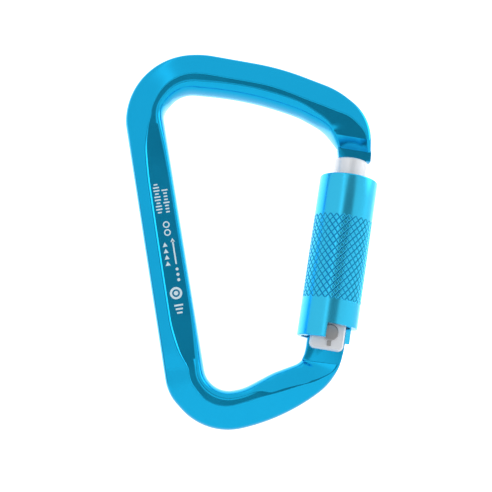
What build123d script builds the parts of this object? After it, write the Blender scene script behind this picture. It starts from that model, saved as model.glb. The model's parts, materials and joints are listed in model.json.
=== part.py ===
from build123d import *
import math
import os

# Auto-locking aluminium carabiner: lift the sleeve, twist it, push the gate in.
# Millimetres. X runs from the spine to the gate, Z runs up the spine, Y is the thickness.
# The origin is the deepest point of the top basket, where the load hangs.

# ---- frame bar ---------------------------------------------------------------------------
CREST = 5.5             # half thickness at the bar's crest
WALL_LEAN = 1.15        # plan width of the wall beside a floor, per millimetre of its depth
OUTER_SLOPE = 0.30      # fall of the outer flank per millimetre
INNER_SLOPE = 0.34      # fall of the inner flank per millimetre
OUTER_ROUND = 1.3       # plan width of the rounding along the outside
INNER_ROUND = 1.9       # plan width of the rounding along the inside
INNER_DROP = 0.2        # the crest beside the inner flank is this much lower than the outer crest

# Corner points of the outline and the radius that rounds each, from the tang round to the nose.
OUTER_CORNERS = [
    (35.9, -75.8), (35.2, -80.5), (29.7, -93.4), (12.1, -101.95), (-10.9, -103.2), (-20, -89.1),
    (-20, -6.65), (-15.7, 14.1), (7.2, 11.2), (29.6, 3.3), (45.75, -6.3), (55.5, -17.6), (49.8, -34.5),
]
OUTER_RADII = [13.3, 18.6, 59.7, 18.5, 13.2, 13.8, 21.1, 28.3, 80.4, 25.0, 15.4]
INNER_CORNERS = [
    (24.1, -78.2), (21.1, -86.45), (11.6, -88.2), (1.95, -91.3), (-8.2, -91.3), (-8.2, -4.7),
    (-1.5, 0.7), (20.4, -5.1), (33.25, -12.8), (43.15, -20.7), (42.0, -31.7),
]
INNER_RADII = [5.3, 17.9, 14.2, 7.3, 5.9, 8.0, 96.8, 13.6, 12.7]
GUIDE_CORNERS = [(25.2, -91.6), (-14.25, -100.4), (-14.25, 12.45), (21.0, 0.6), (50.97, -15.1)]
GUIDE_RADII = [6.0, 14.0, 13.0, 60.0, 9.0]

# How the section changes along the bar: (distance from the tang, millimetres).
OUTER_FLANK = [
    (0, 0.9), (4, 2.8), (10, 5.0), (18.5, 6.7), (24, 7.3), (38, 6.8), (50, 7.4), (55.6, 5.8),
    (61.8, 4.8), (66, 4.5), (106, 4.7), (113, 5.0), (119, 5.6), (124.4, 7.0), (128, 8.2), (133, 8.2),
    (140, 7.9), (155, 7.5), (176, 7.5), (190, 7.8), (197, 7.5), (201, 6.3), (206.9, 4.2), (211.8, 2.0),
]
INNER_FLANK = [
    (0, 10.2), (4, 7.4), (10, 6.0), (18.5, 4.9), (21, 3.4), (24, 2.6), (50, 2.6), (55, 1.7), (60, 1.4),
    (118, 1.4), (124, 1.7), (128, 2.1), (137, 2.1), (151, 2.4), (166, 2.8), (176, 2.9), (185, 3.0),
    (193, 3.2), (197, 3.0), (201, 2.6), (211.8, 2.4),
]
CREST_HEIGHT = [(0, 4.6), (18.5, 5.3), (26, CREST), (190, CREST), (200, 5.2), (211.8, 4.6)]
FLOOR_DEPTH = [
    (0, 0.2), (24, 0.2), (50, 0.2), (60, 0.48), (116, 0.48), (128, 0.2), (190, 0.2), (197, 0.3), (211.8, 0.12),
]

# ---- gate line ---------------------------------------------------------------------------
GATE_TILT = 18.65                   # degrees the gate leans away from the spine
GATE_DATUM = (29.22, 0, -79.51)     # on the gate's axis, level with the hinge rivet
RIVET_OFFSET = 0.6                  # the rivet sits this far outboard of the gate's axis
GATE_OPEN = 25                      # degrees

TANG_HALF = 1.9                     # half thickness of the frame's tang between the gate's ears
TANG_STEP = -9.0                    # where the milled flats of the tang begin
TANG_TOP = 5.9                      # cam radius over the rivet with the gate shut
TANG_SIDE = 5.0                     # cam radius where the cam runs out on the outboard side
TANG_RIM = 0.35                     # chamfer round the tang's rims
# Tang outline below the cam, (across, along): down the inside, through the bar, up the outside.
TANG_OUTLINE = [
    (-5.4, 3.6), (-5.6, 2.2), (-5.6, -5.5), (-5.75, -7.0), (-6.05, -8.2), (-6.4, -9.0), (-5.6, -10.2),
    (3.9, -10.2), (4.95, -9.0), (5.3, -7.0), (5.55, -4.5), (5.6, -2.0),
]
PLUNGER_TRAVEL = 0.7                # how far the cam pushes the plunger up as the gate opens

NOSE_FLAT_END = 59.5                # the nose's wide flat ends here and slopes down
NOSE_KEY_START = 56.4               # the thin key begins here
KEY_HALF = 1.8                      # half thickness of the key
KEY_HOOK_ROUND = 0.45
# Key outline, (across, along): its foot steps inboard into the gate's hooked slot.
KEY_OUTLINE = [
    (-4.5, 57.4), (-4.9, 56.3), (-4.2, 53.6), (-1.6, 53.6), (-1.6, 50.8), (-3.2, 50.8),
    (-3.2, 49.6), (4.2, 49.6), (4.3, 53.6), (5.6, 53.6), (5.45, 56.3), (5.1, 57.4),
]
KEY_HOOK_TOP = 51.2                 # edges below this belong to the hook

BARREL_R = 5.0
GATE_TOP = 53.2
EAR_HALF = 4.2
EAR_BOTTOM = -5.1
FORK_TOP = 11.2
FORK_SLOT_HALF = 2.2
FORK_SLOT_TOP = 8.1
RIVET_R = 1.9
RIVET_HEAD_R = 2.35
RIVET_HEAD = 0.8
RIVET_EASE = 0.18                   # chamfer on the rivet's heads
RUN_CLEARANCE = 0.05
EAR_ROUND = 1.6
EAR_EASE = 0.5
BARREL_EASE = 0.35
KEYWAY_LOW = 18.5
KEYWAY_HIGH = 26.1
KEYWAY_WIDTH = 2.2
KEYWAY_DEPTH = 0.9

SLEEVE_R = 8.75
SLEEVE_TOP = 47.3
SLEEVE_BOTTOM = -1.8
SKIRT_BORE = 6.7
LAND_BORE = 5.3
LAND_LOW = 11.5
LAND_HIGH = 18.5
CHAMBER_BORE = 7.2
NOTCH_TOP = 2.4
NOTCH_FROM = -7.0                   # degrees from the front of the sleeve towards the outside
NOTCH_TO = 120.0
LIFT = 4.5
TWIST = 110.0

PIN_HEIGHT = 15.5
PIN_R = 1.25
PIN_REACH = 6.4
WASHER_LOW = 18.55
WASHER_THICK = 1.2
BUSH_LOW = 43.0
BUSH_THICK = 2.6
SNAP_LOW = 45.6
SNAP_THICK = 0.8
SNAP_BORE = 4.5
SNAP_R = 5.9
SPRING_BORE = 2.3
SPRING_BORE_TOP = 27.0
PLUNGER_R = 2.1
PLUNGER_LOW = 6.3
PLUNGER_HIGH = 15.0
NOSE_SLOT_HALF = 2.1
GATE_COIL_R = 1.75
GATE_WIRE_R = 0.3
GATE_TURNS = 9
SLEEVE_COIL_R = 6.1
SLEEVE_WIRE_R = 0.5
SLEEVE_TURNS = 7
SPRING_GAP = 0.02                   # clearance at a spring's ends
TANG_RELIEF = 7.4       # the skirt is thinned to this radius where the open gate meets the tang


def gate_place():
    """Where the gate's own frame lies: its z is the gate's axis, its x points outboard."""
    return Location(GATE_DATUM, (0, GATE_TILT, 0))


def gate_point(across, along):
    """The plan point (X, Z) at a place on the gate's own frame."""
    tilt = math.radians(GATE_TILT)
    x = GATE_DATUM[0] + across * math.cos(tilt) + along * math.sin(tilt)
    z = GATE_DATUM[2] - across * math.sin(tilt) + along * math.cos(tilt)
    return (x, z)


# ---- frame -------------------------------------------------------------------------------
def plan_curve(corners, radii):
    return FilletPolyline(*corners, radius=radii)


def crossing(samples, centre, tangent, normal, side):
    """How far along the normal a sampled curve crosses the section line."""
    best = None
    for first, second in zip(samples, samples[1:]):
        a = (first - centre).dot(tangent)
        b = (second - centre).dot(tangent)
        if a * b > 0 or a == b:
            continue
        hit = first + (second - first) * (a / (a - b))
        reach = (hit - centre).dot(normal)
        if reach * side > 0 and (best is None or abs(reach) < abs(best)):
            best = reach
    return best


def blend(knots, at):
    """Straight-line interpolation in a list of (position, value) pairs."""
    if at <= knots[0][0]:
        return knots[0][1]
    for (x0, y0), (x1, y1) in zip(knots, knots[1:]):
        if at <= x1:
            return y0 + (y1 - y0) * (at - x0) / (x1 - x0)
    return knots[-1][1]


def guide_line():
    """The line down the middle of the bar, from the tang round the spine to the nose."""
    start = gate_point(0, TANG_STEP)
    end = gate_point(0, NOSE_FLAT_END)
    return plan_curve([start, *GUIDE_CORNERS, end], GUIDE_RADII)


def station_distances(guide):
    """Section places along the guide: close together in the bends, wider on the straights."""
    places = [0.0]
    run = 0.0
    for edge in guide.edges():
        gap = 3.0 if edge.geom_type == GeomType.CIRCLE else 4.5
        steps = max(1, round(edge.length / gap))
        if edge.length > 60:
            places += [run + d for d in (3, 6, 9.5, 13, 38, 62, 66, 70, 73.6)]
        else:
            places += [run + edge.length * k / steps for k in range(1, steps)]
        run += edge.length
        if edge.length > 1:
            places.append(run)
    places[-1] = run
    return places


def section_outline(inner, outer, crest, depth, outer_flank, inner_flank):
    """Corners of half a section from the inside of the bar to its outside, as (across, height)."""
    floor_in = inner + inner_flank
    floor_out = outer - outer_flank
    wall_in = min(WALL_LEAN * depth, 0.3 * inner_flank)
    wall_out = min(WALL_LEAN * depth, 0.4 * outer_flank)
    round_in = min(INNER_ROUND, inner_flank - wall_in - 0.12)
    round_out = min(OUTER_ROUND, 0.7 * (outer_flank - wall_out))
    fall_in = INNER_SLOPE * (inner_flank - wall_in - round_in)
    fall_out = OUTER_SLOPE * (outer_flank - wall_out - round_out)
    inner_top = (inner + round_in, crest - INNER_DROP - fall_in)
    outer_top = (outer - round_out, crest - fall_out)
    return [
        (inner, 0), (inner, inner_top[1] - INNER_SLOPE * round_in), inner_top,
        (floor_in - wall_in, crest - INNER_DROP), (floor_in, crest - depth), (floor_out, crest - depth),
        (floor_out + wall_out, crest), outer_top,
        (outer, outer_top[1] - OUTER_SLOPE * round_out), (outer, 0),
    ]


def section_face(plane, half):
    """A closed section from its half outline, mirrored to the far side of the bar."""
    sides = []
    for sign in (1, -1):
        p = [plane.from_local_coords((across, sign * height, 0)) for across, height in half]
        sides.append([
            Edge.make_bezier(p[0], p[1], p[2]), Edge.make_line(p[2], p[3]), Edge.make_line(p[3], p[4]),
            Edge.make_line(p[4], p[5]), Edge.make_line(p[5], p[6]), Edge.make_line(p[6], p[7]),
            Edge.make_bezier(p[7], p[8], p[9]),
        ])
    return Face(Wire(sides[0] + sides[1][::-1]))


def bar_sections():
    guide = guide_line()
    outer = plan_curve(OUTER_CORNERS, OUTER_RADII)
    inner = plan_curve(INNER_CORNERS, INNER_RADII)
    outer_samples = [outer.position_at(k / 1500) for k in range(1501)]
    inner_samples = [inner.position_at(k / 1500) for k in range(1501)]
    faces = []
    for at in station_distances(guide):
        centre = guide.position_at(at / guide.length)
        tangent = guide.tangent_at(at / guide.length)
        normal = Vector(-tangent.Y, tangent.X)
        half = section_outline(
            crossing(inner_samples, centre, tangent, normal, -1),
            crossing(outer_samples, centre, tangent, normal, 1),
            blend(CREST_HEIGHT, at), blend(FLOOR_DEPTH, at),
            blend(OUTER_FLANK, at), blend(INNER_FLANK, at),
        )
        plane = Plane(
            origin=(centre.X, 0, centre.Y), x_dir=(normal.X, 0, normal.Y), z_dir=(tangent.X, 0, tangent.Y)
        )
        faces.append(section_face(plane, half))
    return faces


def key_section():
    """Below the nose's wide flat the bar slopes down to this thin section."""
    half = [
        (-4.95, 0), (-4.95, 1.0), (-4.6, 1.55), (-4.3, 1.7), (-4.0, KEY_HALF), (4.4, KEY_HALF),
        (4.8, 1.75), (5.1, 1.6), (5.5, 1.1), (5.5, 0),
    ]
    x, z = gate_point(0, NOSE_KEY_START)
    tilt = math.radians(GATE_TILT)
    down = (-math.sin(tilt), 0, -math.cos(tilt))
    outboard = (math.cos(tilt), 0, -math.sin(tilt))
    return section_face(Plane(origin=(x, 0, z), x_dir=outboard, z_dir=down), half)


def nose_key():
    """The thin key that drops into the gate's slot, hooked so that the closed gate can't pull off."""
    outline = Polyline(*KEY_OUTLINE, close=True)
    blade = extrude(Plane.XZ * make_face(outline), KEY_HALF - 0.01, both=True)
    hook = blade.edges().filter_by(Axis.Y).filter_by(lambda e: e.center().Z < KEY_HOOK_TOP)
    return gate_place() * fillet(hook, KEY_HOOK_ROUND)


def tang():
    """The milled tongue that carries the gate's rivet; its top is the plunger's cam."""
    cam = []
    for degrees in range(-90, 41, 10):
        turn = math.radians(degrees)
        rise = PLUNGER_TRAVEL * degrees / GATE_OPEN if degrees > 0 else (TANG_TOP - TANG_SIDE) * degrees / 90
        radius = TANG_TOP + rise
        cam.append((RIVET_OFFSET - radius * math.sin(turn), radius * math.cos(turn)))
    profile = Spline(*cam) + Polyline(cam[-1], *TANG_OUTLINE, cam[0])
    plate = extrude(Plane.XZ * make_face(profile), TANG_HALF, both=True)
    rims = plate.edges().filter_by(lambda e: abs(abs(e.center().Y) - TANG_HALF) < 0.01)
    rims = rims.filter_by(lambda e: e.center().Z > TANG_STEP)
    plate = chamfer(rims, TANG_RIM)
    bore = Location((RIVET_OFFSET, 0, 0), (90, 0, 0)) * Cylinder(RIVET_R + RUN_CLEARANCE, 4 * TANG_HALF)
    return gate_place() * (plate - bore)


def frame():
    faces = bar_sections() + [key_section()]
    bar = Solid.make_loft([face.outer_wire() for face in faces], ruled=True)
    return Part() + bar + nose_key() + tang()


# ---- gate --------------------------------------------------------------------------------
def ring(bore, radius, low, high):
    """A plain tube on the gate's axis."""
    return Pos(0, 0, (low + high) / 2) * (Cylinder(radius, high - low) - Cylinder(bore, high - low))


def rod(radius, low, high):
    return Pos(0, 0, (low + high) / 2) * Cylinder(radius, high - low)


def nose_slot():
    """The hooked slot that takes the nose key, open at the top and outboard."""
    mouth = Pos(2.0, 0, 52.6) * Box(8, 2 * NOSE_SLOT_HALF, 3)
    pocket = Pos(1.2, 0, 50.15) * Box(9.6, 2 * NOSE_SLOT_HALF, 1.9)
    return mouth + pocket


def gate_barrel():
    """Round bar, squared off at the foot into a fork whose ears straddle the tang."""
    bar = rod(BARREL_R, FORK_TOP - 2, GATE_TOP)
    bar = chamfer(bar.edges().filter_by(GeomType.CIRCLE).sort_by(Axis.Z)[-1], BARREL_EASE)
    foot = Pos(0, 0, (EAR_BOTTOM + FORK_TOP) / 2) * Box(2 * BARREL_R, 2 * EAR_HALF, FORK_TOP - EAR_BOTTOM)
    foot = fillet(foot.edges().filter_by(Axis.Y).sort_by(Axis.Z)[:2], EAR_ROUND)
    foot = chamfer(foot.edges().filter_by(Axis.Z), EAR_EASE)
    foot = foot & rod(6.4, EAR_BOTTOM - 1, FORK_TOP + 1)
    fork = Pos(0, 0, FORK_SLOT_TOP / 2 - 5) * Box(20, 2 * FORK_SLOT_HALF, FORK_SLOT_TOP + 10)
    rivet_bore = Pos(RIVET_OFFSET, 0, 0) * Rot(90, 0, 0) * Cylinder(RIVET_R, 20)
    spring_bore = rod(SPRING_BORE, 0, SPRING_BORE_TOP)
    keyway = Pos(-BARREL_R, 0, (KEYWAY_LOW + KEYWAY_HIGH) / 2)
    keyway *= Box(2 * KEYWAY_DEPTH, KEYWAY_WIDTH, KEYWAY_HIGH - KEYWAY_LOW)
    pin_bore = Pos(0, BARREL_R, PIN_HEIGHT) * Rot(90, 0, 0) * Cylinder(PIN_R, 4.2)
    snap_groove = ring(SNAP_BORE, BARREL_R + 1, SNAP_LOW, SNAP_LOW + SNAP_THICK)
    barrel = bar + foot - fork - rivet_bore - spring_bore - keyway - pin_bore - snap_groove
    return gate_place() * (barrel - nose_slot())


def hinge_rivet():
    """Headed steel pin; a small key under the front head stops it turning in the ear."""
    shank = Rot(90, 0, 0) * Cylinder(RIVET_R, 2 * EAR_HALF)
    head = Pos(0, -EAR_HALF - RIVET_HEAD / 2, 0) * Rot(90, 0, 0) * Cylinder(RIVET_HEAD_R, RIVET_HEAD)
    head = chamfer(head.edges().filter_by(GeomType.CIRCLE).sort_by(Axis.Y)[0], RIVET_EASE)
    back = Pos(0, EAR_HALF + RIVET_HEAD / 2, 0) * Rot(90, 0, 0) * Cylinder(RIVET_HEAD_R, RIVET_HEAD)
    back = chamfer(back.edges().filter_by(GeomType.CIRCLE).sort_by(Axis.Y)[-1], RIVET_EASE)
    key = Pos(0, -EAR_HALF - 0.25, -2.9) * Box(1.15, 0.5, 2.0)
    return gate_place() * Pos(RIVET_OFFSET, 0, 0) * (shank + head + back + key)


def coil(mean_radius, wire_radius, low, high, turns):
    """A compression spring: a round wire swept along a helix."""
    height = high - low - 2 * wire_radius
    path = Pos(0, 0, low + wire_radius) * Helix(height / turns, height, mean_radius)
    start = path.position_at(0)
    wire = Plane(origin=start, z_dir=path.tangent_at(0)) * Circle(wire_radius)
    return gate_place() * sweep(wire, path=path, is_frenet=True)


def gate_spring():
    low = PLUNGER_HIGH + SPRING_GAP
    return coil(GATE_COIL_R, GATE_WIRE_R, low, SPRING_BORE_TOP - SPRING_GAP, GATE_TURNS)


def sleeve_spring():
    low = WASHER_LOW + WASHER_THICK + 0.05
    return coil(SLEEVE_COIL_R, SLEEVE_WIRE_R, low, BUSH_LOW - SPRING_GAP, SLEEVE_TURNS)


def gate_plunger():
    """Domed pin that the gate spring presses on the tang's cam."""
    dome = Pos(0, 0, PLUNGER_LOW + PLUNGER_R) * Sphere(PLUNGER_R)
    shank = rod(PLUNGER_R, PLUNGER_LOW + PLUNGER_R, PLUNGER_HIGH)
    spigot = rod(1.1, PLUNGER_HIGH, PLUNGER_HIGH + 2.0)
    return gate_place() * (dome + shank + spigot)


def guide_pin():
    pin = Pos(0, (PIN_REACH + 2.95) / 2, PIN_HEIGHT) * Rot(90, 0, 0) * Cylinder(PIN_R, PIN_REACH - 2.95)
    return gate_place() * pin


def lift_washer():
    """Rides up with the sleeve; its tooth runs in the barrel's keyway so that it can't turn."""
    tooth = Pos(-4.9, 0, WASHER_LOW + WASHER_THICK / 2) * Box(1.2, 1.7, WASHER_THICK)
    plain = ring(LAND_BORE, CHAMBER_BORE - 0.3, WASHER_LOW, WASHER_LOW + WASHER_THICK)
    return gate_place() * (plain + tooth)


def end_bush():
    bush = ring(BARREL_R, CHAMBER_BORE - 0.3, BUSH_LOW, BUSH_LOW + BUSH_THICK)
    rim = bush.edges().filter_by(GeomType.CIRCLE).sort_by(Axis.Z)[-2:]
    return gate_place() * chamfer(rim.sort_by(SortBy.RADIUS)[-1], 0.4)


def retaining_ring():
    """Split ring snapped into the barrel's groove above the bush."""
    hoop = ring(SNAP_BORE, SNAP_R, SNAP_LOW, SNAP_LOW + SNAP_THICK)
    split = Pos(0, SNAP_R, SNAP_LOW + SNAP_THICK / 2) * Box(1.6, 2 * SNAP_R, 2)
    return gate_place() * (hoop - split)


# ---- sleeve ------------------------------------------------------------------------------
def sector(radius, start, stop, low, high):
    """A pie slice about the gate's axis; angles run from the front of the sleeve outboard."""
    middle = (start + stop) / 2
    half = (stop - start) / 2
    reach = [(0, 0)]
    for step in range(9):
        turn = math.radians(-90 + middle - half + half * step / 4)
        reach.append((radius * math.cos(turn), radius * math.sin(turn)))
    slice_face = make_face(Polyline(*reach, close=True))
    return Pos(0, 0, low) * extrude(slice_face, high - low)


def locking_sleeve():
    """Tube over the barrel: skirt with a notch for the tang, guide land, spring chamber."""
    body = rod(SLEEVE_R, SLEEVE_BOTTOM, SLEEVE_TOP)
    rims = body.edges().filter_by(GeomType.CIRCLE)
    body = fillet(rims.sort_by(Axis.Z)[-1], 0.5)
    body = chamfer(body.edges().filter_by(GeomType.CIRCLE).sort_by(Axis.Z)[0], 0.3)
    body -= rod(SKIRT_BORE, SLEEVE_BOTTOM - 1, LAND_LOW)
    body -= rod(LAND_BORE, LAND_LOW - 1, LAND_HIGH + 1)
    body -= rod(CHAMBER_BORE, LAND_HIGH, SLEEVE_TOP + 1)
    body -= sector(2 * SLEEVE_R, NOTCH_FROM, NOTCH_TO, SLEEVE_BOTTOM - 1, NOTCH_TOP)
    window_low = PIN_HEIGHT - LIFT - PIN_R - 0.3
    window_high = PIN_HEIGHT + PIN_R + 0.3
    window = sector(2 * SKIRT_BORE, 165, 165 + 30 + TWIST, window_low, window_high)
    body -= window & rod(SKIRT_BORE, window_low, window_high)
    relief = Pos(-SLEEVE_R, 0, 0) * Box(2 * SLEEVE_R, 2 * TANG_HALF + 0.8, 20)
    body -= relief & rod(TANG_RELIEF, SLEEVE_BOTTOM - 1, 3.0)
    return gate_place() * body


def write(name, shape):
    solids = shape.solids()
    export_step(Compound(children=solids) if len(solids) > 1 else solids[0], f"parts/{name}.step")


def main():
    os.makedirs("parts", exist_ok=True)
    write("frame", frame())
    write("gate_barrel", gate_barrel())
    write("hinge_rivet", hinge_rivet())
    write("gate_plunger", gate_plunger())
    write("gate_spring", gate_spring())
    write("guide_pin", guide_pin())
    write("lift_washer", lift_washer())
    write("sleeve_spring", sleeve_spring())
    write("end_bush", end_bush())
    write("retaining_ring", retaining_ring())
    write("locking_sleeve", locking_sleeve())


main()
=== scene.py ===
# %% [markdown]
# # An auto-locking carabiner
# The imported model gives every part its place. This lesson adds what the eye reads first: the
# forged bar with its groove and pocket, the knurled sleeve, and the finish of each metal.
# The scene is in metres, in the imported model's own axes. Sizes below are typed in millimetres, as a
# maker would say them, and scaled on their way into a mesh.

# %% Load the frame
import json
import math
import bmesh
import bpy
from mathutils import Matrix, Vector


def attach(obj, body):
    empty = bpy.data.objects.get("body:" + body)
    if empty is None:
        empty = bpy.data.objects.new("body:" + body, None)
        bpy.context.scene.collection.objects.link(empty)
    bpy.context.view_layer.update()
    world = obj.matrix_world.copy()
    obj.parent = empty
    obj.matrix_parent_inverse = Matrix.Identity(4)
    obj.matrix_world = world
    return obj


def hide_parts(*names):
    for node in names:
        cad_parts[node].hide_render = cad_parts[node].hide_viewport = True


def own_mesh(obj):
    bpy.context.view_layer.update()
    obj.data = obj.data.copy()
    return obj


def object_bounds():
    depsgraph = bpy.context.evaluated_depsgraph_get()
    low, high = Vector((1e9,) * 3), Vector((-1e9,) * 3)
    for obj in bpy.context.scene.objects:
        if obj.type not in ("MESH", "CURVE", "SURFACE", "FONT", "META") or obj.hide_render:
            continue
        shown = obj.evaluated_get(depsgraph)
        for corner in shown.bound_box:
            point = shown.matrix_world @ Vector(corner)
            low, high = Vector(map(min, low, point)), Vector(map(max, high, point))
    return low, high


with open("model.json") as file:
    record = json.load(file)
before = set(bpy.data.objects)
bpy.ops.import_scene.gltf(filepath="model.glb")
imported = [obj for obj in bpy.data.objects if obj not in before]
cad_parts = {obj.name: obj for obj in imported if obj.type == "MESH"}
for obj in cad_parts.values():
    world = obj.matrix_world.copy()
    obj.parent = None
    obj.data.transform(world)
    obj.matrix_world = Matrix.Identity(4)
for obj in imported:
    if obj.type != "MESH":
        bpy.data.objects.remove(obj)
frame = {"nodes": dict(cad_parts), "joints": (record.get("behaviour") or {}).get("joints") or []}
cad_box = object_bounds()
MM = 0.001
joints = {joint["name"]: joint for joint in frame["joints"]}

# %% [markdown]
# ## The gate's own frame
# The gate leans away from the spine, so its parts are easiest to describe along its own axis.
# The twist joint of the sleeve gives that axis: its z runs up the gate and its x points outboard.

# %% Where the gate lies
twist = joints["sleeve_twist"]
gate_up = -Vector(twist["axis"]).normalized()
gate_lean = Matrix.Rotation(math.atan2(gate_up.x, gate_up.z), 4, "Y")
gate_frame = Matrix.Translation(Vector(twist["pos_m"])) @ gate_lean
print("gate axis", [round(v, 4) for v in gate_up])


def drop_selection():
    """Nothing may be selected when an operator starts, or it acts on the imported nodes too."""
    if bpy.context.object and bpy.context.object.mode != "OBJECT":
        bpy.ops.object.mode_set(mode="OBJECT")
    bpy.ops.object.select_all(action="DESELECT")


def object_from(mesh_builder, name):
    """Turns a bmesh into an object at the origin, with its place in its vertices."""
    bmesh.ops.remove_doubles(mesh_builder, verts=mesh_builder.verts, dist=1e-7)
    bmesh.ops.recalc_face_normals(mesh_builder, faces=mesh_builder.faces)
    mesh = bpy.data.meshes.new(name)
    mesh_builder.to_mesh(mesh)
    mesh_builder.free()
    piece = bpy.data.objects.new(name, mesh)
    bpy.context.collection.objects.link(piece)
    return piece


def smooth_by_angle(piece, degrees):
    """Shades smooth, but keeps every edge sharper than `degrees` crisp."""
    drop_selection()
    piece.select_set(True)
    bpy.context.view_layer.objects.active = piece
    bpy.ops.object.shade_smooth_by_angle(angle=math.radians(degrees))
    print(piece.name, len(piece.data.polygons), "faces")

# %% [markdown]
# ## The plan of the bar
# A forged bar is drawn as two outlines, outside and inside, each a few straight runs joined by
# arcs. A third line down the middle says where each cross-section stands. All three are lists of
# corners with a radius at each, in millimetres from the top basket.

# %% Corners and radii
OUTER_CORNERS = [
    (35.9, -75.8), (35.2, -80.5), (29.7, -93.4), (12.1, -101.95), (-10.9, -103.2), (-20, -89.1),
    (-20, -6.65), (-15.7, 14.1), (7.2, 11.2), (29.6, 3.3), (45.75, -6.3), (55.3, -17.6), (49.8, -34.5),
]
OUTER_RADII = [13.3, 18.6, 59.7, 18.5, 13.2, 13.8, 21.1, 28.3, 80.4, 25.0, 15.4]
INNER_CORNERS = [
    (24.1, -78.2), (21.1, -86.45), (11.6, -88.2), (1.95, -91.3), (-8.2, -91.3), (-8.2, -4.7),
    (-1.5, 0.7), (20.4, -5.1), (33.25, -12.8), (43.15, -20.7), (42.0, -31.7),
]
INNER_RADII = [5.3, 17.9, 14.2, 7.3, 5.9, 8.0, 96.8, 13.6, 12.7]
GUIDE_CORNERS = [(25.2, -91.6), (-14.25, -100.4), (-14.25, 12.45), (21.0, 0.6), (50.97, -15.1)]
GUIDE_RADII = [6.0, 14.0, 13.0, 60.0, 9.0]
TANG_STEP = -9.0
NOSE_FLAT_END = 59.5
NOSE_KEY_START = 56.4


def gate_plan(across, along):
    """A plan point (X, Z) in millimetres from a place in the gate's own frame."""
    place = gate_frame @ (Vector((across, 0, along)) * MM) / MM
    return Vector((place.x, place.z))

# %% [markdown]
# ## Rounding the corners
# Each corner is swapped for an arc that touches both of its runs. The curve is then sampled so
# finely that straight pieces between samples can't be seen.

# %% Rounded outline
def rounded(corners, radii, step=0.12):
    """Points along an outline whose inner corners are rounded, at most `step` apart."""
    points = [Vector(corners[0])]
    for corner, radius, before, after in zip(corners[1:-1], radii, corners, corners[2:]):
        corner = Vector(corner)
        back = (Vector(before) - corner).normalized()
        ahead = (Vector(after) - corner).normalized()
        half = back.angle(ahead) / 2
        middle = corner + (back + ahead).normalized() * radius / math.sin(half)
        start = corner + back * radius / math.tan(half) - middle
        sweep = start.angle_signed(corner + ahead * radius / math.tan(half) - middle)
        count = max(2, math.ceil(abs(sweep) * radius / step))
        for k in range(count + 1):
            turn = Matrix.Rotation(-sweep * k / count, 2)
            points.append(middle + turn @ start)
    points.append(Vector(corners[-1]))
    filled = [points[0]]
    for point in points[1:]:
        gap = (point - filled[-1]).length
        count = max(1, math.ceil(gap / step))
        base = filled[-1]
        filled += [base.lerp(point, k / count) for k in range(1, count + 1)]
    return filled


outer_line = rounded(OUTER_CORNERS, OUTER_RADII)
inner_line = rounded(INNER_CORNERS, INNER_RADII)
guide_ends = gate_plan(0, TANG_STEP), gate_plan(0, NOSE_FLAT_END)
guide_line = rounded([guide_ends[0], *GUIDE_CORNERS, guide_ends[1]], GUIDE_RADII)
print("outline samples", len(outer_line), len(inner_line), len(guide_line))

# %% [markdown]
# ## The section of the bar
# Outside, a long flank slopes to a crest; then comes a groove or pocket with a flat floor; then a
# shorter flank rolls into the rounded inside, where the rope runs. Along the bar only a few widths
# change, so they are given as knots: (millimetres from the tang, value).

# %% How the section changes
BAR_RUN = 211.8
CREST = 5.5
OUTER_FLANK = [
    (0, 0.9), (4, 2.8), (10, 5.0), (18.5, 6.7), (24, 7.3), (38, 6.8), (50, 7.4), (55.6, 5.8),
    (61.8, 4.8), (66, 4.5), (106, 4.7), (113, 5.0), (119, 5.6), (124.4, 7.0), (128, 8.2), (133, 8.2),
    (140, 7.9), (155, 7.5), (176, 7.5), (190, 7.8), (197, 7.5), (201, 6.3), (206.9, 4.2), (BAR_RUN, 2.0),
]
INNER_FLANK = [
    (0, 10.2), (4, 7.4), (10, 6.0), (18.5, 4.9), (21, 3.4), (24, 2.6), (46, 2.6), (54, 2.1), (62, 1.6),
    (70, 1.4), (108, 1.4), (116, 1.6), (124, 2.0), (132, 2.1), (140, 2.15), (151, 2.4), (166, 2.8),
    (176, 2.9), (185, 2.9), (191, 2.5), (196, 1.9), (201, 1.5), (BAR_RUN, 1.4),
]
CREST_HEIGHT = [(0, 4.6), (18.5, 5.3), (26, CREST), (200, CREST), (BAR_RUN, 5.0)]
FLOOR_DEPTH = [
    (0, 0.03), (18.5, 0.06), (26, 0.14), (50, 0.14), (60, 0.48), (116, 0.48), (128, 0.14), (BAR_RUN, 0.14),
]
WALL_LEAN = 1.15
OUTER_SLOPE = 0.30
INNER_SLOPE = [(0, 0.26), (10, 0.3), (24, 0.34)]
OUTER_ROUND = 1.3
INNER_ROUND = 1.9
CREST_EASE = 0.28
INNER_DROP = 0.1
LEAST_FLAT = 0.12


def knot_value(knots, at):
    """Reads a value between knots with a smooth cubic, so that the bar has no kinks."""
    if at <= knots[0][0]:
        return knots[0][1]
    for k in range(len(knots) - 1):
        (x0, y0), (x1, y1) = knots[k], knots[k + 1]
        if at <= x1:
            slopes = []
            for j in (k, k + 1):
                a, b = knots[max(j - 1, 0)], knots[min(j + 1, len(knots) - 1)]
                before = (knots[j][1] - a[1]) * (b[1] - knots[j][1])
                slopes.append((b[1] - a[1]) / (b[0] - a[0]) if before > 0 else 0.0)
            span = x1 - x0
            t = (at - x0) / span
            return (
                y0 * (2 * t**3 - 3 * t**2 + 1) + y1 * (3 * t**2 - 2 * t**3)
                + slopes[0] * span * (t**3 - 2 * t**2 + t) + slopes[1] * span * (t**3 - t**2)
            )
    return knots[-1][1]

# %% [markdown]
# ## Half a section
# From the inside out, half a section is a rounding, a short flank, a recess with two leaning walls
# and a flat floor, a long flank and another rounding. Both roundings are quadratic curves that meet
# the flanks and the far half without a break, and both rims of the recess are eased a little.

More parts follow.
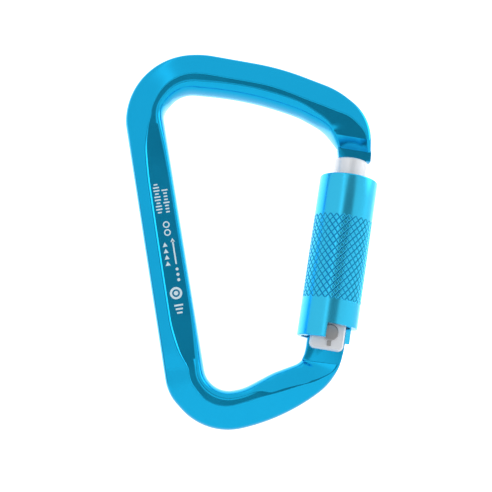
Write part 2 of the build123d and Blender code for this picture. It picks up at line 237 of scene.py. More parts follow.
# %% Section points
def curve_points(a, b, c, count):
    """Points of a quadratic curve from a to c, pulled towards b; a is left out."""
    out = []
    for k in range(1, count + 1):
        t = k / count
        out.append(a * (1 - t) ** 2 + b * 2 * t * (1 - t) + c * t**2)
    return out


def run_points(a, b, count):
    """Evenly spaced points of a straight run from a to b; a is left out."""
    return [a.lerp(b, k / count) for k in range(1, count + 1)]


def eased(before, corner, after, ease, count=4):
    """A small rounding where two runs meet: from the first run, through the corner, to the second."""
    start = corner + (before - corner).normalized() * min(ease, 0.45 * (before - corner).length)
    end = corner + (after - corner).normalized() * min(ease, 0.45 * (after - corner).length)
    return [start, *curve_points(start, corner, end, count)]


def half_section(inner, outer, crest, depth, outer_flank, inner_flank, inner_slope):
    """The upper half of a section as (across, height), from the inside to the outside."""
    floor_in, floor_out = inner + inner_flank, outer - outer_flank
    wall_in = min(WALL_LEAN * depth, 0.3 * inner_flank)
    wall_out = min(WALL_LEAN * depth, 0.4 * outer_flank)
    round_in = min(INNER_ROUND, inner_flank - wall_in - LEAST_FLAT)
    round_out = min(OUTER_ROUND, 0.7 * (outer_flank - wall_out))
    top_in = crest - INNER_DROP - inner_slope * (inner_flank - wall_in - round_in)
    top_out = crest - OUTER_SLOPE * (outer_flank - wall_out - round_out)
    start = Vector((inner, 0))
    points = [start]
    points += curve_points(
        start, Vector((inner, top_in - inner_slope * round_in)), Vector((inner + round_in, top_in)), 9
    )
    crest_in = Vector((floor_in - wall_in, crest - INNER_DROP))
    crest_out = Vector((floor_out + wall_out, crest))
    low_in, low_out = Vector((floor_in, crest - depth)), Vector((floor_out, crest - depth))
    shoulder = Vector((outer - round_out, top_out))
    rim_in = eased(points[-1], crest_in, low_in, CREST_EASE)
    rim_out = eased(low_out, crest_out, shoulder, CREST_EASE)
    points += run_points(points[-1], rim_in[0], 4)
    points += rim_in[1:]
    points += run_points(points[-1], low_in, 1)
    points += run_points(points[-1], low_out, 4)
    points += run_points(points[-1], rim_out[0], 1)
    points += rim_out[1:]
    points += run_points(points[-1], shoulder, 5)
    points += curve_points(
        points[-1], Vector((outer, top_out - OUTER_SLOPE * round_out)), Vector((outer, 0)), 8
    )
    return points


def reach(line, centre, tangent, normal, side):
    """How far along the section line an outline lies."""
    best = None
    for a, b in zip(line, line[1:]):
        da, db = (a - centre).dot(tangent), (b - centre).dot(tangent)
        if da * db > 0 or da == db:
            continue
        across = (a + (b - a) * (da / (da - db)) - centre).dot(normal)
        if across * side > 0 and (best is None or abs(across) < abs(best)):
            best = across
    return best

# %% [markdown]
# ## Sweeping the bar
# An operator can't change a section as it sweeps, so the bar's skin is laid down section by
# section in code: rings of points round the bar, joined by quads, with both ends closed.

# %% Rings along the guide
RING_SPACING = 0.8


def bar_rings():
    """Half sections along the guide, each a list of (plan point, height)."""
    rings, run, last_at = [], 0.0, -RING_SPACING
    total = sum((b - a).length for a, b in zip(guide_line, guide_line[1:]))
    for k, point in enumerate(guide_line):
        if k:
            run += (point - guide_line[k - 1]).length
        if run - last_at < RING_SPACING and k != len(guide_line) - 1:
            continue
        last_at = run
        a, b = guide_line[max(k - 2, 0)], guide_line[min(k + 2, len(guide_line) - 1)]
        tangent = (b - a).normalized()
        normal = Vector((-tangent.y, tangent.x))
        at = run * BAR_RUN / total
        half = half_section(
            reach(inner_line, point, tangent, normal, -1), reach(outer_line, point, tangent, normal, 1),
            knot_value(CREST_HEIGHT, at), knot_value(FLOOR_DEPTH, at),
            knot_value(OUTER_FLANK, at), knot_value(INNER_FLANK, at), knot_value(INNER_SLOPE, at),
        )
        rings.append([(point + normal * across, height) for across, height in half])
    return rings


NOSE_HALF = 1.8
NOSE_INSIDE = -4.95
NOSE_OUTSIDE = 5.5
NOSE_RUNS = [(-3.9, 4), (-3.8, 4), (-3.7, 1), (4.1, 4), (4.15, 1), (4.3, 4), (4.6, 5)]


def key_ring():
    """The thin section at the nose, with as many points as the bar's own section."""
    start = Vector((NOSE_INSIDE, 0))
    half = [start]
    half += curve_points(start, Vector((NOSE_INSIDE, NOSE_HALF)), Vector((-4.0, NOSE_HALF)), 9)
    for across, pieces in NOSE_RUNS:
        half += run_points(half[-1], Vector((across, NOSE_HALF)), pieces)
    half += curve_points(half[-1], Vector((NOSE_OUTSIDE, NOSE_HALF)), Vector((NOSE_OUTSIDE, 0)), 8)
    return [(gate_plan(across, NOSE_KEY_START), height) for across, height in half]


def bar_mesh():
    """The bar's skin, with the half sections mirrored to the back."""
    build = bmesh.new()
    rings = bar_rings()
    rings.append(key_ring())
    loops = []
    for ring in rings:
        front = [build.verts.new((p.x * MM, -h * MM, p.y * MM)) for p, h in ring]
        back = [build.verts.new((p.x * MM, h * MM, p.y * MM)) for p, h in ring[1:-1]]
        loops.append(front + back[::-1])
    for low, high in zip(loops, loops[1:]):
        for k in range(len(low)):
            j = (k + 1) % len(low)
            build.faces.new((low[k], low[j], high[j], high[k]))
    build.faces.new(loops[0])
    build.faces.new(loops[-1][::-1])
    return build


bar = object_from(bar_mesh(), "forged_bar")
print("bar", len(bar.data.vertices), "points")

# %% [markdown]
# ## The tang and the nose key
# At the hinge the bar is milled down to a thin tongue whose rounded top pushes the gate's plunger.
# At the nose a thin hooked key drops into the gate. Both start as a flat plate, drawn as a face,
# extruded to its thickness and eased along its rims, and are then joined to the bar.

# %% Plates on the gate's frame
def plate(outline, half, rim, name):
    """A flat plate through (across, along) points, square to the bar's thickness."""
    build = bmesh.new()
    low = [build.verts.new(gate_frame @ (Vector((x, -half, z)) * MM)) for x, z in outline]
    high = [build.verts.new(gate_frame @ (Vector((x, half, z)) * MM)) for x, z in outline]
    build.faces.new(low)
    build.faces.new(high[::-1])
    for k in range(len(low)):
        j = (k + 1) % len(low)
        build.faces.new((low[k], high[k], high[j], low[j]))
    piece = object_from(build, name)
    if rim:
        ease = piece.modifiers.new("rim", "BEVEL")
        ease.width = rim * MM
        ease.segments = 3
        ease.limit_method = "ANGLE"
        ease.angle_limit = math.radians(60)
        apply_all(piece)
    return piece


def apply_all(piece):
    """Applies every modifier of a piece, in order."""
    drop_selection()
    piece.select_set(True)
    bpy.context.view_layer.objects.active = piece
    for modifier in list(piece.modifiers):
        bpy.ops.object.modifier_apply(modifier=modifier.name)


def join_solid(piece, other, operation="UNION"):
    """Joins another solid to a piece, or cuts it away, and removes the other."""
    cut = piece.modifiers.new("join", "BOOLEAN")
    cut.operation = operation
    cut.solver = "EXACT"
    cut.object = other
    apply_all(piece)
    bpy.data.objects.remove(other)


RIVET_OFFSET = 0.6
TANG_TOP = 5.9
TANG_HALF = 1.9
TANG_BORE = 1.95
KEY_HALF = 1.79
GATE_OPENING = 25
PLUNGER_TRAVEL = 0.7
HEEL_DROP = 0.9
TANG_SIDES = [
    (-5.4, 3.6), (-5.6, 2.2), (-5.6, -5.5), (-5.75, -7.0), (-6.05, -8.2), (-6.3, -9.0), (-3.6, -9.4),
    (3.9, -10.2), (4.95, -9.0), (5.3, -7.0), (5.55, -4.5), (5.6, -2.0),
]
KEY_OUTLINE = [
    (-4.5, 57.4), (-4.9, 56.3), (-4.2, 53.6), (-1.6, 53.6), (-1.6, 50.8), (-3.2, 50.8), (-3.2, 49.6),
    (4.2, 49.6), (4.3, 53.6), (5.6, 53.6), (5.45, 56.3), (5.1, 57.4),
]


def cam_outline():
    """The tang's round top: it rises on the side that the open gate's plunger meets."""
    points = []
    for degrees in range(-90, 41, 5):
        rise = PLUNGER_TRAVEL * degrees / GATE_OPENING if degrees > 0 else HEEL_DROP * degrees / 90
        radius, turn = TANG_TOP + rise, math.radians(degrees)
        points.append((RIVET_OFFSET - radius * math.sin(turn), radius * math.cos(turn)))
    return points


tang = plate([*cam_outline(), *TANG_SIDES], TANG_HALF, 0.35, "tang")
key = plate(KEY_OUTLINE, KEY_HALF, 0.15, "key")


def round_bar(radius, low, high, name, across=0.0, lying=False, sides=96):
    """A cylinder primitive on the gate's axis, or lying through the bar's thickness."""
    drop_selection()
    turn = gate_frame.to_euler() if not lying else (math.radians(90), 0, 0)
    if lying:
        place = gate_frame @ (Vector((across, (low + high) / 2, 0)) * MM)
    else:
        place = gate_frame @ (Vector((across, 0, (low + high) / 2)) * MM)
    bpy.ops.mesh.primitive_cylinder_add(
        vertices=sides, radius=radius * MM, depth=(high - low) * MM, location=place, rotation=turn
    )
    piece = bpy.context.object
    piece.name = name
    bpy.ops.object.transform_apply(location=True, rotation=True, scale=True)
    return piece


tang_bore = round_bar(TANG_BORE, -4, 4, "tang_bore", across=RIVET_OFFSET, lying=True)
join_solid(tang, tang_bore, "DIFFERENCE")
join_solid(bar, tang)
join_solid(bar, key)
bar.name = "carabiner_frame"
smooth_by_angle(bar, 24)
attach(bar, "frame")
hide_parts("frame")

# %% [markdown]
# ## Etched marks
# A laser bleaches pale marks on the pocket's floor. These are plain shapes that say nothing: ticks,
# rings, arrowheads and dots, each a primitive pressed thin and sunk half into the floor.

# %% Marks on the spine
POCKET_FLOOR = 5.02
MARK_THICK = 0.05
LEFT_ROW = -13.8
RIGHT_ROW = -11.4
TICK_STEP = 0.95


def mark(kind, x, z, wide, tall):
    """One flat mark with its size across and along the spine, in millimetres."""
    drop_selection()
    turn = (math.radians(90), 0, 0)
    if kind == "bar":
        bpy.ops.mesh.primitive_cube_add(size=1)
    elif kind == "ring":
        bpy.ops.mesh.primitive_torus_add(
            major_radius=0.41, minor_radius=0.09, major_segments=40, minor_segments=8, rotation=turn
        )
    else:
        sides = {"arrow": 3, "dot": 24}[kind]
        bpy.ops.mesh.primitive_cylinder_add(vertices=sides, radius=0.5, depth=1, rotation=turn)
    piece = bpy.context.object
    bpy.ops.object.transform_apply(location=True, rotation=True, scale=True)
    piece.scale = Vector((wide, MARK_THICK, tall)) * MM
    piece.location = Vector((x, -POCKET_FLOOR, z)) * MM
    bpy.ops.object.transform_apply(location=True, rotation=True, scale=True)
    return piece


marks = [mark("bar", LEFT_ROW, -28 - TICK_STEP * k, 1.8 if k % 3 else 1.1, 0.42) for k in range(10)]
marks += [mark("bar", RIGHT_ROW, -30 - TICK_STEP * k, 1.1 if k % 4 else 1.8, 0.42) for k in range(8)]
marks += [mark("ring", -12.5, z, 2.0, 2.0) for z in (-40.4, -42.8)]
marks += [mark("arrow", LEFT_ROW, -46.5 - 1.9 * k, 1.7, 1.7) for k in range(4)]
marks += [mark("bar", RIGHT_ROW, -49, 0.45, 7), mark("arrow", RIGHT_ROW, -45.4, 1.5, 1.5)]
marks += [mark("dot", RIGHT_ROW, -54 - 1.6 * k, 0.9, 0.9) for k in range(3)]
marks += [mark("ring", -12.8, -61, 3.6, 3.6), mark("dot", -12.8, -61, 1.3, 1.3)]
marks += [mark("bar", -12.6, -64.6 - 1.1 * k, 2.6 - 0.5 * k, 0.5) for k in range(3)]
drop_selection()
for piece in marks:
    piece.select_set(True)
bpy.context.view_layer.objects.active = marks[0]
bpy.ops.object.join()
etched = bpy.context.object
etched.name = "etched_marks"
smooth_by_angle(etched, 24)
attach(etched, "frame")

# %% [markdown]
# ## The locking sleeve
# A lathe turns the sleeve, a pair of wheels rolls the diamonds into its middle, and a mill cuts the
# notch. Here a grid of columns and rows is wrapped round the gate's axis, and each point's radius
# comes from one formula, so the diamonds are real shape and not only a texture. The grid has a
# whole number of cells to each diamond, so that every groove's bottom runs through grid points.

# %% Sleeve sizes
SLEEVE_R = 8.75
SLEEVE_TOP = 47.3
SLEEVE_BOTTOM = -1.8
NOTCH_TOP = 2.4
NOTCH_FROM = -7
NOTCH_TO = 120
KNURL_LOW = 9.5
KNURL_HIGH = 34.8
KNURL_STARTS = 28
KNURL_PITCH = 2.3
KNURL_DEPTH = 0.24
KNURL_CELLS = 14
GROOVE_CELLS = 2.2
KNURL_FADE = 0.35
RIM_ROUND = 0.5
SKIRT_BORE = 6.7
SKIRT_THINNED = 7.4
SKIRT_HIGH = 3
SPRING_BORE = 7.2
GUIDE_BORE = 5.3
COLUMNS = KNURL_STARTS * KNURL_CELLS
COLUMN_TURN = 360 / COLUMNS


def knurl_depth(column, along):
    """How deep the two crossing families of rolled grooves cut at a place on the grid."""
    edge = min(along - KNURL_LOW, KNURL_HIGH - along)
    if edge <= 0:
        return 0.0
    turns, rises = column / KNURL_CELLS, (along - KNURL_LOW) / KNURL_PITCH
    away = min(abs(phase - round(phase)) for phase in (turns + rises, turns - rises)) * KNURL_CELLS
    return KNURL_DEPTH * max(1 - away / GROOVE_CELLS, 0.0) * min(edge / KNURL_FADE, 1.0)


def skirt_bore(angle):
    """The skirt's inside radius, thinned towards the spine, where the tang swings."""
    from_inside = abs((angle + 90 + 180) % 360 - 180)
    return SKIRT_THINNED if from_inside < 19 else SKIRT_BORE


def sleeve_rows():
    """The outside as (along, radius) rows; the ends roll over in a few steps."""
    rows = [(SLEEVE_BOTTOM, 8.42), (-1.7, 8.62)]
    rows += [(along, SLEEVE_R) for along in (-1.5, 0.5, NOTCH_TOP, 6, 9.3)]
    steps = round((KNURL_HIGH - KNURL_LOW) / KNURL_PITCH * KNURL_CELLS)
    rows += [(KNURL_LOW + (KNURL_HIGH - KNURL_LOW) * k / steps, SLEEVE_R) for k in range(steps + 1)]
    rows += [(along, SLEEVE_R) for along in (35.0, 41, SLEEVE_TOP - RIM_ROUND)]
    for turn in (math.radians(degrees) for degrees in (18, 36, 54, 72, 90)):
        along = SLEEVE_TOP - RIM_ROUND + RIM_ROUND * math.sin(turn)
        rows.append((along, SLEEVE_R - RIM_ROUND + RIM_ROUND * math.cos(turn)))
    return rows


def sleeve_mesh():
    """The whole sleeve as one closed skin, with the notch left out and its edges walled."""
    build = bmesh.new()
    outside = sleeve_rows()
    inside = [
        (SLEEVE_TOP, 7.35), (47.15, SPRING_BORE), (18.5, SPRING_BORE), (18.5, GUIDE_BORE),
        (11.5, GUIDE_BORE), (11.5, SKIRT_BORE), (NOTCH_TOP, SKIRT_BORE), (0.5, SKIRT_BORE),
        (SLEEVE_BOTTOM, SKIRT_BORE),
    ]
    walls = [(a, r, True) for a, r in outside] + [(a, r, False) for a, r in inside]
    grid = []
    for along, radius, is_outside in walls:
        row = []
        for column in range(COLUMNS):
            angle = column * COLUMN_TURN + NOTCH_FROM
            r = radius - knurl_depth(column, along) if is_outside else radius
            if not is_outside and along < SKIRT_HIGH:
                r = skirt_bore(angle)
            turn = math.radians(angle - 90)
            place = Vector((r * math.cos(turn), r * math.sin(turn), along)) * MM
            row.append(build.verts.new(gate_frame @ place))
        grid.append(row)
    count = len(walls)
    notch_columns = round((NOTCH_TO - NOTCH_FROM) / COLUMN_TURN)
    top_out = next(k for k, wall in enumerate(walls) if wall[0] == NOTCH_TOP)
    top_in = next(k for k, wall in enumerate(walls) if wall[0] == NOTCH_TOP and not wall[2])
    for k in range(count):
        after = (k + 1) % count
        in_notch = k < top_out or k >= top_in
        for column in range(COLUMNS):
            beside = (column + 1) % COLUMNS
            if in_notch and column < notch_columns:
                continue
            quad = (grid[k][column], grid[k][beside], grid[after][beside], grid[after][column])
            build.faces.new(quad)
    for column in range(notch_columns):
        build.faces.new((grid[top_in][column], grid[top_in][column + 1],
                         grid[top_out][column + 1], grid[top_out][column]))
    for column in (0, notch_columns):
        rim = [grid[k][column] for k in range(top_out + 1)]
        rim += [grid[k][column] for k in range(top_in, count)]
        build.faces.new(rim[::-1] if column else rim)
    return build


sleeve = object_from(sleeve_mesh(), "knurled_sleeve")
smooth_by_angle(sleeve, 24)
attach(sleeve, "sleeve")
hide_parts("locking_sleeve")

# %% [markdown]
# ## Wound springs
# The two springs are wound again here as tubes along a helix, each from its own sizes. They hang on
# the gate, and the packed springs are hidden.

# %% Coil springs
def coil_spring(name, mean_radius, wire, low, high, turns, sides=12, steps=40):
    """A round wire wound up the gate's axis, with a flat cap at each end."""
    build = bmesh.new()
    rise = high - low - 2 * wire
    loops = []
    for k in range(turns * steps + 1):
        turn = math.tau * k / steps
        out = Vector((math.cos(turn), math.sin(turn), 0))
        centre = out * mean_radius + Vector((0, 0, low + wire + rise * k / (turns * steps)))
        rim = []
        for j in range(sides):
            around = math.tau * j / sides
            place = centre + out * wire * math.cos(around) + Vector((0, 0, wire * math.sin(around)))
            rim.append(build.verts.new(gate_frame @ (place * MM)))
        loops.append(rim)
    for first, second in zip(loops, loops[1:]):
        for j in range(sides):
            build.faces.new((first[j], first[(j + 1) % sides], second[(j + 1) % sides], second[j]))
    build.faces.new(loops[0])
    build.faces.new(loops[-1][::-1])
    piece = object_from(build, name)
    smooth_by_angle(piece, 60)
    return piece


SLEEVE_LIFT = 4.5
springs = []
for node_name, joint_name, sizes, travel in (
    ("sleeve_spring", "sleeve_lift", (6.1, 0.5, 19.8, 42.98, 7), SLEEVE_LIFT),
    ("gate_spring", "gate_hinge", (1.75, 0.3, 15.02, 26.98, 9), PLUNGER_TRAVEL),
):
    spring = coil_spring("wound_" + node_name, *sizes)
    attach(spring, "gate")
    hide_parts(node_name)
    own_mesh(spring)
    springs.append(spring)

# %% [markdown]
# ## Finishes
# Every metal here gets its look from what it reflects, so each material is mostly a metal shader
# with a fine grain in its normal and a slow change in its roughness. One group makes that grain.

# %% The grain group
def new_group(name, inputs, outputs):
    """An empty shader group with its sockets, and its two end nodes."""
    group = bpy.data.node_groups.new(name, "ShaderNodeTree")
    for label, kind, value in inputs:
        socket = group.interface.new_socket(label, in_out="INPUT", socket_type=kind)
        socket.default_value = value
    for label, kind in outputs:
        group.interface.new_socket(label, in_out="OUTPUT", socket_type=kind)
    return group, group.nodes.new("NodeGroupInput"), group.nodes.new("NodeGroupOutput")


def add_node(tree, kind, **settings):
    """A node with its settings: a property if it has one of that name, or else an input."""
    node = tree.nodes.new(kind)
    for name, value in settings.items():
        if hasattr(node, name):
            setattr(node, name, value)
        else:
            node.inputs[name.replace("_", " ")].default_value = value
    return node


grain_group, given, made = new_group(
    "metal_grain",
    [("Fine Scale", "NodeSocketFloat", 4000.0), ("Patch Scale", "NodeSocketFloat", 120.0),
     ("Low", "NodeSocketFloat", 0.2), ("High", "NodeSocketFloat", 0.3)],
    [("Height", "NodeSocketFloat"), ("Roughness", "NodeSocketFloat"), ("Patch", "NodeSocketFloat")],
)
places = add_node(grain_group, "ShaderNodeTexCoord")
fine = add_node(grain_group, "ShaderNodeTexNoise", Detail=3.0)
patch = add_node(grain_group, "ShaderNodeTexNoise", Detail=4.0, Roughness=0.6)
spread = add_node(grain_group, "ShaderNodeMapRange", From_Min=0.3, From_Max=0.7)
link = grain_group.links.new
link(places.outputs["Object"], fine.inputs["Vector"])
link(places.outputs["Object"], patch.inputs["Vector"])
link(given.outputs["Fine Scale"], fine.inputs["Scale"])
link(given.outputs["Patch Scale"], patch.inputs["Scale"])
link(patch.outputs["Fac"], spread.inputs["Value"])
link(given.outputs["Low"], spread.inputs["To Min"])
link(given.outputs["High"], spread.inputs["To Max"])
link(fine.outputs["Fac"], made.inputs["Height"])
link(spread.outputs["Result"], made.inputs["Roughness"])
link(patch.outputs["Fac"], made.inputs["Patch"])
print("groups", [g.name for g in bpy.data.node_groups])

# %% [markdown]
# ## Painted shade in the rolled grooves
# Light is lost between a groove's walls, so shade is painted into the base colour there. A second group
# finds the same two families of grooves that cut the sleeve's shape, on the gate's own axis, as a mask.

# %% The groove mask
def chain(tree, operation, *values):
    """A math node fed by sockets or plain numbers."""
    node = tree.nodes.new("ShaderNodeMath")
    node.operation = operation
    for socket, value in zip(node.inputs, values):
        if isinstance(value, (int, float)):
            socket.default_value = value
        else:
            tree.links.new(value, socket)
    return node.outputs[0]


# This mask says where shade is painted into the sleeve's grooves.
groove_shade_group, _, made = new_group("knurl_groove_shade", [], [("Mask", "NodeSocketFloat")])
places = add_node(groove_shade_group, "ShaderNodeTexCoord")
upright = add_node(groove_shade_group, "ShaderNodeVectorRotate", rotation_type="AXIS_ANGLE")
upright.inputs["Axis"].default_value = (0, 1, 0)
upright.inputs["Center"].default_value = gate_frame.translation
upright.inputs["Angle"].default_value = -math.atan2(gate_up.x, gate_up.z)
groove_shade_group.links.new(places.outputs["Object"], upright.inputs["Vector"])
local = add_node(groove_shade_group, "ShaderNodeVectorMath", operation="SUBTRACT")
local.inputs[1].default_value = gate_frame.translation
groove_shade_group.links.new(upright.outputs["Vector"], local.inputs[0])
axes = add_node(groove_shade_group, "ShaderNodeSeparateXYZ")
groove_shade_group.links.new(local.outputs["Vector"], axes.inputs["Vector"])
swing = chain(groove_shade_group, "ARCTAN2", axes.outputs["Y"], axes.outputs["X"])
first_start = KNURL_STARTS * (90 - NOTCH_FROM) / 360
turns = chain(groove_shade_group, "MULTIPLY_ADD", swing, KNURL_STARTS / math.tau, first_start)
per_metre, first_row = 1 / (KNURL_PITCH * MM), -KNURL_LOW / KNURL_PITCH
rises = chain(groove_shade_group, "MULTIPLY_ADD", axes.outputs["Z"], per_metre, first_row)
one_way = chain(groove_shade_group, "PINGPONG", chain(groove_shade_group, "ADD", turns, rises), 0.5)
other_way = chain(groove_shade_group, "PINGPONG", chain(groove_shade_group, "SUBTRACT", turns, rises), 0.5)
away = chain(groove_shade_group, "MINIMUM", one_way, other_way)
from_bottom = chain(groove_shade_group, "MULTIPLY", away, KNURL_CELLS / GROOVE_CELLS)
line = chain(groove_shade_group, "SUBTRACT", 1.0, from_bottom)
above = chain(groove_shade_group, "GREATER_THAN", axes.outputs["Z"], KNURL_LOW * MM)
below = chain(groove_shade_group, "LESS_THAN", axes.outputs["Z"], KNURL_HIGH * MM)
inside = chain(groove_shade_group, "MULTIPLY", above, below)
mask = chain(groove_shade_group, "MULTIPLY", chain(groove_shade_group, "MAXIMUM", line, 0.0), inside)
groove_shade_group.links.new(mask, made.inputs["Mask"])
print("groove mask ready")

# %% [markdown]
# ## Anodised and bare metal
# A dyed oxide film colours the reflection itself, so the colour goes in the metal's base colour and
# varies a little where the dye took unevenly. Bare steel and brass differ only in their numbers, and
# the polymer bush and the pale etched oxide use the same recipe with no metal in it.

# %% Metals
def metal(name, color, second, rough, fine_scale, bump, patch_scale=120.0, metallic=1.0):
    """A metal with two close colours, a roughness range and a fine bump."""
    material = bpy.data.materials.new(name)
    material.use_nodes = True
    tree = material.node_tree
    shader = tree.nodes["Principled BSDF"]
    shader.inputs["Metallic"].default_value = metallic
    group = tree.nodes.new("ShaderNodeGroup")
    group.node_tree = grain_group
    group.inputs["Fine Scale"].default_value = fine_scale
    group.inputs["Patch Scale"].default_value = patch_scale
    group.inputs["Low"].default_value = rough[0]
    group.inputs["High"].default_value = rough[1]
    mix = add_node(tree, "ShaderNodeMix", data_type="RGBA")
    mix.inputs[6].default_value = (*color, 1)
    mix.inputs[7].default_value = (*second, 1)
    relief = add_node(tree, "ShaderNodeBump", Strength=bump, Distance=0.00002)
    tree.links.new(group.outputs["Patch"], mix.inputs["Factor"])
    tree.links.new(mix.outputs[2], shader.inputs["Base Color"])
    tree.links.new(group.outputs["Roughness"], shader.inputs["Roughness"])
    tree.links.new(group.outputs["Height"], relief.inputs["Height"])
    tree.links.new(relief.outputs["Normal"], shader.inputs["Normal"])
    print("material", name)
    return material


def paint_groove_shade(material, painted_shade_color):
    """Paints shade into a metal's base colour along the groove mask."""
    tree = material.node_tree
    shader = tree.nodes["Principled BSDF"]
    plain = shader.inputs["Base Color"].links[0].from_socket
    group = tree.nodes.new("ShaderNodeGroup")
    group.node_tree = groove_shade_group
    over = add_node(tree, "ShaderNodeMix", data_type="RGBA")
    over.inputs[7].default_value = (*painted_shade_color, 1)
    tree.links.new(group.outputs["Mask"], over.inputs[0])
    tree.links.new(plain, over.inputs[6])
    tree.links.new(over.outputs[2], shader.inputs["Base Color"])


anodised_frame = metal(
    "anodised_frame_blue", (0.010, 0.45, 0.82), (0.012, 0.47, 0.84), (0.17, 0.21), 2600, 0.12
)
anodised_sleeve = metal(
    "anodised_sleeve_blue", (0.045, 0.60, 0.95), (0.05, 0.62, 0.97), (0.2, 0.25), 3800, 0.08
)
# Painted shade: the sleeve's colour darkens to a deep blue along the rolled grooves.
paint_groove_shade(anodised_sleeve, (0.008, 0.22, 0.46))
bare_aluminium = metal(
    "bare_turned_aluminium", (0.85, 0.87, 0.91), (0.89, 0.91, 0.95), (0.36, 0.46), 5200, 0.2, metallic=0.5
)
rivet_steel = metal("rivet_steel_dull", (0.40, 0.40, 0.41), (0.46, 0.46, 0.46), (0.35, 0.45), 3000, 0.4)
spring_steel = metal(
    "spring_steel_drawn", (0.45, 0.45, 0.47), (0.52, 0.52, 0.54), (0.25, 0.35), 4200, 0.2
)
plunger_brass = metal(
    "plunger_brass_turned", (0.70, 0.48, 0.20), (0.76, 0.54, 0.25), (0.22, 0.32), 4200, 0.2
)
bush_polymer = metal(
    "bush_polymer_moulded", (0.02, 0.02, 0.022), (0.03, 0.03, 0.03), (0.4, 0.5), 2400, 0.3, metallic=0.0
)
etched_oxide = metal(
    "etched_oxide_pale", (0.60, 0.78, 0.88), (0.72, 0.86, 0.94), (0.6, 0.8), 6000, 0.2, metallic=0.0
)

# %% [markdown]
# ## Which piece wears what
# The pieces that stay as they were packed only change their material. The ones drawn here are
# dressed in the same way, so that every piece ends with exactly one finish.

# %% Dress the pieces
finish_of = {
    "gate_barrel": bare_aluminium, "hinge_rivet": rivet_steel, "guide_pin": rivet_steel,
    "gate_plunger": plunger_brass, "lift_washer": spring_steel, "retaining_ring": spring_steel,
    "end_bush": bush_polymer,
}
for node_name, finish in finish_of.items():
    node = frame["nodes"][node_name]
    node.data.materials.clear()
    node.data.materials.append(finish)
wear = [(bar, anodised_frame), (sleeve, anodised_sleeve), (etched, etched_oxide)]
wear += [(spring, spring_steel) for spring in springs]
for piece, finish in wear:
    piece.data.materials.clear()
    piece.data.materials.append(finish)
print("dressed", len(finish_of) + len(wear), "pieces")

# %% [markdown]
# ## Floor and wall
# The piece hangs before a pale wall, well above a pale floor. The wall glows by itself and the floor
# only a little, so that the set stays white right into its corners.

# %% The white set
def paper(name, pale, glow):
    """Matt paper with a glow of its own, so that no corner of the set falls grey."""
    material = bpy.data.materials.new(name)
    material.use_nodes = True
    shader = material.node_tree.nodes["Principled BSDF"]
    shader.inputs["Base Color"].default_value = (pale, pale, pale, 1)
    shader.inputs["Roughness"].default_value = 0.9
    shader.inputs["Emission Color"].default_value = (1, 1, 1, 1)
    shader.inputs["Emission Strength"].default_value = glow
    return material


def white_set():
    """A floor 0.2 m below the piece and an upright wall 1.2 m behind it."""
    drop_selection()
    bpy.ops.mesh.primitive_plane_add(size=6, location=(0, 0, cad_box[0][2] - 0.2))
    floor = bpy.context.object
    floor.name = "pale_floor"
    drop_selection()
    bpy.ops.mesh.primitive_plane_add(size=4, location=(0, 1.2, 0), rotation=(math.radians(90), 0, 0))
    wall = bpy.context.object
    wall.name = "pale_wall"
    floor.data.materials.append(paper("floor_paper", 0.75, 0.1))
    wall.data.materials.append(paper("wall_paper", 0.3, 1.2))
    print("set", floor.name, wall.name)


white_set()

# %% [markdown]
# ## The tent
# Bright metal shows its surroundings, so the light is a white tent that changes near five
# directions. A dim gap in front, a little up and to the right, is what the faces that look straight
# out mirror, and it turns them a deep blue. To the left of it stand a narrow bright strip and, far
# round, a dark patch. The back is brighter, and a lamp shines from the right, a little above.

# %% The tent's light
def compass(turn, rise):
    """A direction from its degrees round from the front (right is positive) and up."""
    turn, rise = math.radians(turn), math.radians(rise)
    return Vector((math.sin(turn) * math.cos(rise), -math.cos(turn) * math.cos(rise), math.sin(rise)))


def gap_mask(tree, direction, axis, full, none, strength):
    """Light changes to `strength` within `full` degrees of a direction and is plain beyond `none`."""
    facing = tree.nodes.new("ShaderNodeVectorMath")
    facing.operation = "DOT_PRODUCT"
    facing.inputs[1].default_value = direction
    tree.links.new(axis, facing.inputs[0])
    edge = tree.nodes.new("ShaderNodeMapRange")
    edge.interpolation_type = "SMOOTHSTEP"
    edge.inputs["From Min"].default_value = math.cos(math.radians(none))
    edge.inputs["From Max"].default_value = math.cos(math.radians(full))
    edge.inputs["To Min"].default_value = 1.0
    edge.inputs["To Max"].default_value = strength
    tree.links.new(facing.outputs["Value"], edge.inputs["Value"])
    return edge.outputs["Result"]


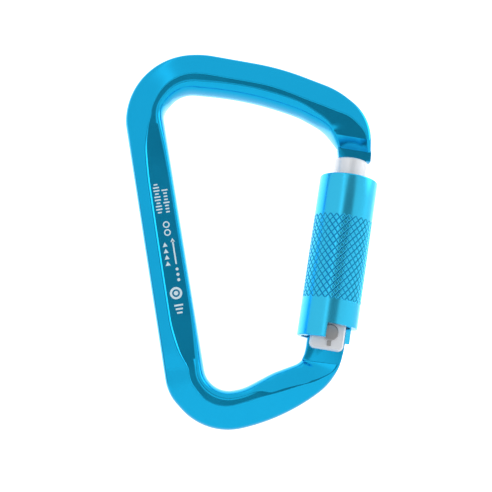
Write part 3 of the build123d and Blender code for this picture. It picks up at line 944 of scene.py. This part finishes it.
def tent():
    """A white world whose strength is the product of the five changes."""
    world = bpy.data.worlds.new("white_tent")
    bpy.context.scene.world = world
    world.use_nodes = True
    tree = world.node_tree
    tree.nodes.clear()
    coords = tree.nodes.new("ShaderNodeTexCoord")
    level = tree.nodes.new("ShaderNodeVectorMath")
    level.operation = "MULTIPLY"
    level.inputs[1].default_value = (1, 1, 0)
    flat = tree.nodes.new("ShaderNodeVectorMath")
    flat.operation = "NORMALIZE"
    tree.links.new(coords.outputs["Generated"], level.inputs[0])
    tree.links.new(level.outputs["Vector"], flat.inputs[0])
    round_way, level_way = coords.outputs["Generated"], flat.outputs["Vector"]
    masks = [
        gap_mask(tree, compass(10, 9), round_way, 15, 21, 0.36),
        gap_mask(tree, compass(-17, 0), level_way, 2, 5, 1.6),
        gap_mask(tree, compass(-111, 2), round_way, 13, 21, 0.4),
        gap_mask(tree, compass(180, 0), level_way, 62, 100, 1.5),
        gap_mask(tree, compass(86, 20), round_way, 14, 26, 2.6),
    ]
    strength = masks[0]
    for mask in masks[1:]:
        both = tree.nodes.new("ShaderNodeMath")
        both.operation = "MULTIPLY"
        tree.links.new(strength, both.inputs[0])
        tree.links.new(mask, both.inputs[1])
        strength = both.outputs["Value"]
    light = tree.nodes.new("ShaderNodeBackground")
    out = tree.nodes.new("ShaderNodeOutputWorld")
    tree.links.new(strength, light.inputs["Strength"])
    tree.links.new(light.outputs["Background"], out.inputs["Surface"])
    print("tent", len(masks), "changes of light")


tent()

# %% [markdown]
# ## The camera
# The camera hangs a little below the piece and to its left. Standard colour keeps the white white.

# %% Place the camera
bpy.context.scene.view_settings.view_transform = "Standard"
CAMERA_AWAY = 0.300
CAMERA_AIM = (0.010, 0, -0.0497)
CAMERA_LENS = 73.1707
CAMERA_SENSOR = 36


def studio_camera():
    """Looks a little up and a little from the left, rolled so that the spine leans."""
    rise, side, roll = math.radians(9.8), math.radians(2.0), math.radians(9.62)
    toward = Vector((math.sin(side) * math.cos(rise), math.sin(rise), math.cos(rise) * math.cos(side)))
    toward.normalize()
    right = (Vector((1, 0, 0)) - toward * toward.x).normalized()
    up = toward.cross(right)
    plan_right = Vector((math.cos(roll), 0, -math.sin(roll)))
    plan_up = Vector((math.sin(roll), 0, math.cos(roll)))
    plan_out = Vector((0, -1, 0))
    axes = [right[k] * plan_right + up[k] * plan_up + toward[k] * plan_out for k in range(3)]
    turn = Matrix((axes[0], axes[1], axes[2])).transposed()
    camera_data = bpy.data.cameras.new("studio_camera")
    camera_data.lens = CAMERA_LENS
    camera_data.sensor_width = CAMERA_SENSOR
    camera_data.clip_start = 0.01
    camera = bpy.data.objects.new("studio_camera", camera_data)
    bpy.context.collection.objects.link(camera)
    camera.matrix_world = Matrix.Translation(Vector(CAMERA_AIM) + axes[2] * CAMERA_AWAY) @ turn.to_4x4()
    bpy.context.scene.camera = camera
    print("camera at", [round(v, 3) for v in camera.matrix_world.translation])


studio_camera()
